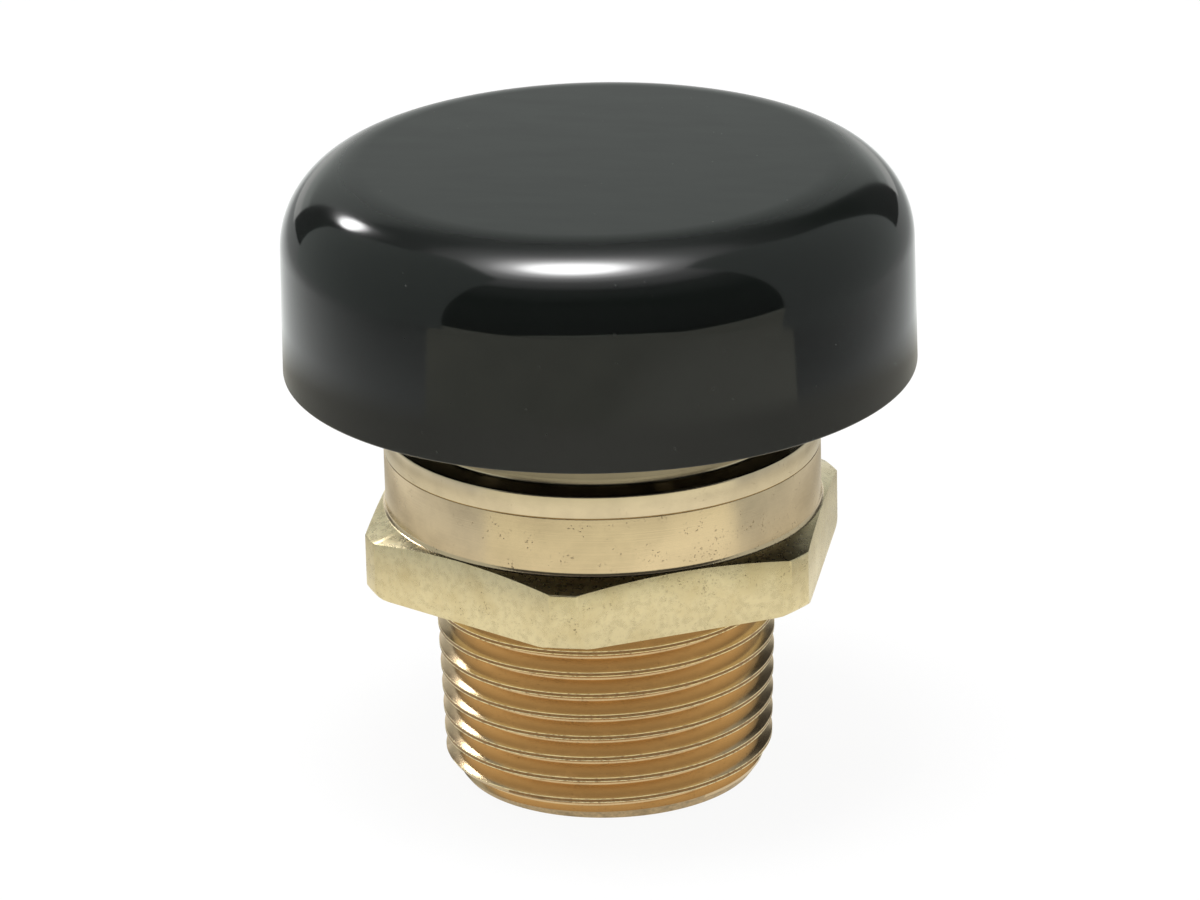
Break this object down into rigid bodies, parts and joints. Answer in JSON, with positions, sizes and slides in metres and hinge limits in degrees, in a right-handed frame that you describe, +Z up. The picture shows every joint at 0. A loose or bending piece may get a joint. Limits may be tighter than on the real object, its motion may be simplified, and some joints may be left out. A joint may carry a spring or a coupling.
{
  "type": "vacuum relief valve",
  "caption": "Vacuum relief valve for water pipe: tapered male thread, hexagon, sprung disc that opens inwards, and a black dome cap over an open ring of air.",
  "frame": {"origin": "centre of the end face of the male thread", "axes": "+Z up the valve's axis from the thread to the cap, +X square to two of the hexagon's flats, a corner of the hexagon at -Y"},
  "size_m": [0.0498, 0.0498, 0.0508],
  "materials": {
    "cast_brass": "turned, slightly pitted",
    "turned_brass": "fine turned",
    "fibre": "matt",
    "silicone": "satin",
    "stainless_steel": "turned",
    "spring_wire": "drawn, bright",
    "black_plastic": "moulded, glossy with a satin top"
  },
  "bodies": {
    "valve": {"valve_body": "cast_brass", "bonnet_gasket": "fibre", "bonnet": "turned_brass", "return_spring": "spring_wire"},
    "poppet": {"valve_stem": "stainless_steel", "seal_disc": "silicone", "disc_holder": "turned_brass", "stem_washer": "stainless_steel", "stem_nut": "stainless_steel", "spring_cup": "stainless_steel", "retaining_ring": "spring_wire"},
    "cap": {"vent_cap": "black_plastic"}
  },
  "joints": [
    {"name": "disc_lift", "type": "slide", "parent": "valve", "child": "poppet", "axis": [0, 0, -1], "range_m": [0, 0.003], "stiffness_N_per_m": 100, "springref_m": -0.006, "deforming": ["return_spring"]},
    {"name": "cap_lift", "type": "slide", "parent": "valve", "child": "cap", "axis": [0, 0, 1], "range_m": [0, 0.02]}
  ]
}
